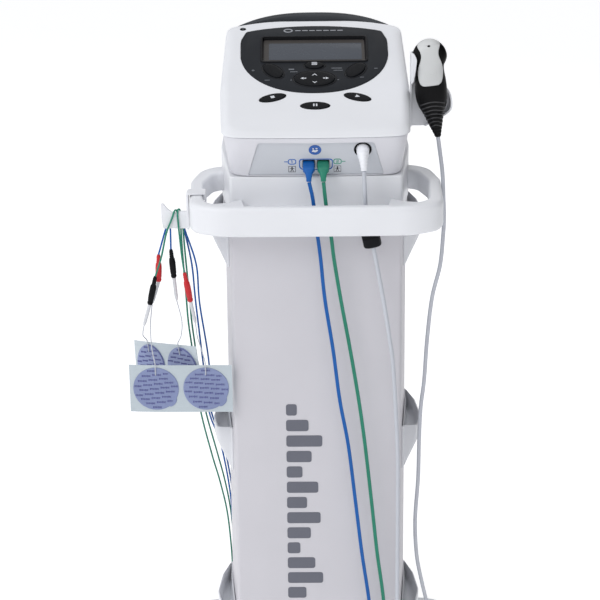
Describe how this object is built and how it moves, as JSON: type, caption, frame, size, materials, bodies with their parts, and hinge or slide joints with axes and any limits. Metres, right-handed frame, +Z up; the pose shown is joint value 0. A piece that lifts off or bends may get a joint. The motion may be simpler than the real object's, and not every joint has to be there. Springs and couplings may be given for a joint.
{
  "type": "ultrasound therapy unit on cart",
  "caption": "Combined ultrasound and electrotherapy unit with sloping keypad and applicator, on a columned castered cart with side bins, lead hook and electrode leads.",
  "frame": {"origin": "on the floor under the centre of the cart's base, at the bottom centre of the box round the unit without its cords", "axes": "+Z up; -Y towards the user, so the sloping keypad faces -Y; +X to the user's right, where the applicator hangs"},
  "size_m": [0.5294, 0.48, 1.2057],
  "materials": {
    "shell_white": "fine matte moulded ABS",
    "column_grey": "smooth light grey powder coat",
    "fascia_dark": "dark blue-grey printed fascia",
    "display_dark": "glossy dark display window",
    "board_green": "solder-masked circuit board",
    "supply_metal": "folded metal case",
    "key_black": "satin black moulded plastic",
    "panel_grey": "matte blue-grey connector plate",
    "cover_grey": "satin light grey plastic",
    "sound_metal": "fine turned metal",
    "cable_white": "soft off-white cable jacket",
    "cord_blue": "satin blue",
    "cord_green": "satin green",
    "cord_red": "satin red",
    "caster_metal": "dark grey pressed steel",
    "tyre_grey": "dark rubber tread",
    "liner": "pale blue release liner with round gel electrodes"
  },
  "bodies": {
    "cart": {"head_upper_shell": "shell_white", "head_lower_shell": "shell_white", "applicator_holder": "shell_white", "top_deck": "shell_white", "cart_base": "shell_white", "lead_hook": "shell_white", "bin_right_top": "shell_white", "bin_right_middle": "shell_white", "bin_right_bottom": "shell_white", "bin_left_top": "shell_white", "bin_left_middle": "shell_white", "bin_left_bottom": "shell_white", "column_front": "column_grey", "column_rear": "column_grey", "control_fascia": "fascia_dark", "display_window": "display_dark", "circuit_board": "board_green", "power_supply": "supply_metal", "carry_handle": "key_black", "mains_inlet": "key_black", "ferrite_core": "key_black", "connector_panel": "panel_grey", "applicator_cable": "cable_white", "applicator_plug": "cable_white", "blue_plug": "cord_blue", "blue_lead": "cord_blue", "green_plug": "cord_green", "green_lead": "cord_green", "blue_wire_red": "cord_red", "green_wire_red": "cord_red", "pin_connector_blue_red": "cord_red", "pin_connector_green_red": "cord_red", "blue_wire_black": "key_black", "green_wire_black": "key_black", "pin_connector_blue_black": "key_black", "pin_connector_green_black": "key_black", "electrode_sheet_front": "liner", "electrode_sheet_rear": "liner"},
    "key_stop_button": {"stop_button": "key_black"},
    "key_start_button": {"start_button": "key_black"},
    "key_pause_button": {"pause_button": "key_black"},
    "key_menu_button": {"menu_button": "key_black"},
    "key_arrow_pad": {"arrow_pad": "key_black"},
    "key_left_key": {"left_key": "key_black"},
    "key_right_key": {"right_key": "key_black"},
    "rocker": {"power_switch": "key_black"},
    "applicator": {"applicator_grip": "key_black", "applicator_cover": "cover_grey", "sound_head": "sound_metal", "applicator_boot": "key_black"},
    "fork_front_left": {"caster_fork_front_left": "caster_metal"},
    "wheel_front_left": {"caster_wheel_front_left": "tyre_grey"},
    "fork_front_right": {"caster_fork_front_right": "caster_metal"},
    "wheel_front_right": {"caster_wheel_front_right": "tyre_grey"},
    "fork_rear_left": {"caster_fork_rear_left": "caster_metal"},
    "wheel_rear_left": {"caster_wheel_rear_left": "tyre_grey"},
    "fork_rear_right": {"caster_fork_rear_right": "caster_metal"},
    "wheel_rear_right": {"caster_wheel_rear_right": "tyre_grey"},
    "brake_front_left": {"brake_lever_front_left": "cord_red"},
    "brake_front_right": {"brake_lever_front_right": "cord_red"}
  },
  "joints": [
    {"name": "stop_button_press", "type": "slide", "parent": "cart", "child": "key_stop_button", "axis": [0, 0.2934, -0.956], "range_m": [0, 0.0012], "stiffness_N_per_m": 800, "springref_m": -0.0005},
    {"name": "start_button_press", "type": "slide", "parent": "cart", "child": "key_start_button", "axis": [0, 0.2934, -0.956], "range_m": [0, 0.0012], "stiffness_N_per_m": 800, "springref_m": -0.0005},
    {"name": "pause_button_press", "type": "slide", "parent": "cart", "child": "key_pause_button", "axis": [0, 0.2934, -0.956], "range_m": [0, 0.0012], "stiffness_N_per_m": 800, "springref_m": -0.0005},
    {"name": "menu_button_press", "type": "slide", "parent": "cart", "child": "key_menu_button", "axis": [0, 0.2934, -0.956], "range_m": [0, 0.0012], "stiffness_N_per_m": 800, "springref_m": -0.0005},
    {"name": "arrow_pad_press", "type": "slide", "parent": "cart", "child": "key_arrow_pad", "axis": [0, 0.2934, -0.956], "range_m": [0, 0.0012], "stiffness_N_per_m": 800, "springref_m": -0.0005},
    {"name": "left_key_press", "type": "slide", "parent": "cart", "child": "key_left_key", "axis": [0, 0.2934, -0.956], "range_m": [0, 0.0012], "stiffness_N_per_m": 800, "springref_m": -0.0005},
    {"name": "right_key_press", "type": "slide", "parent": "cart", "child": "key_right_key", "axis": [0, 0.2934, -0.956], "range_m": [0, 0.0012], "stiffness_N_per_m": 800, "springref_m": -0.0005},
    {"name": "power_switch_rock", "type": "hinge", "parent": "cart", "child": "rocker", "pos_m": [0.012, 0.106, 1.0512], "axis": [1, 0, 0], "range_deg": [0, 10]},
    {"name": "applicator_lift", "type": "slide", "parent": "cart", "child": "applicator", "axis": [0, 0, 1], "range_m": [0, 0.06]},
    {"name": "swivel_front_left", "type": "hinge", "parent": "cart", "child": "fork_front_left", "pos_m": [-0.176, -0.172, 0.0776], "axis": [0, 0, 1], "continuous": true},
    {"name": "roll_front_left", "type": "hinge", "parent": "fork_front_left", "child": "wheel_front_left", "pos_m": [-0.176, -0.15, 0.0325], "axis": [1, 0, 0], "continuous": true},
    {"name": "swivel_front_right", "type": "hinge", "parent": "cart", "child": "fork_front_right", "pos_m": [0.176, -0.172, 0.0776], "axis": [0, 0, 1], "continuous": true},
    {"name": "roll_front_right", "type": "hinge", "parent": "fork_front_right", "child": "wheel_front_right", "pos_m": [0.176, -0.15, 0.0325], "axis": [1, 0, 0], "continuous": true},
    {"name": "swivel_rear_left", "type": "hinge", "parent": "cart", "child": "fork_rear_left", "pos_m": [-0.176, 0.172, 0.0776], "axis": [0, 0, 1], "continuous": true},
    {"name": "roll_rear_left", "type": "hinge", "parent": "fork_rear_left", "child": "wheel_rear_left", "pos_m": [-0.176, 0.194, 0.0325], "axis": [1, 0, 0], "continuous": true},
    {"name": "swivel_rear_right", "type": "hinge", "parent": "cart", "child": "fork_rear_right", "pos_m": [0.176, 0.172, 0.0776], "axis": [0, 0, 1], "continuous": true},
    {"name": "roll_rear_right", "type": "hinge", "parent": "fork_rear_right", "child": "wheel_rear_right", "pos_m": [0.176, 0.194, 0.0325], "axis": [1, 0, 0], "continuous": true},
    {"name": "brake_front_left", "type": "hinge", "parent": "fork_front_left", "child": "brake_front_left", "pos_m": [-0.176, -0.181, 0.061], "axis": [1, 0, 0], "range_deg": [0, 15]},
    {"name": "brake_front_right", "type": "hinge", "parent": "fork_front_right", "child": "brake_front_right", "pos_m": [0.176, -0.181, 0.061], "axis": [1, 0, 0], "range_deg": [0, 15]}
  ]
}
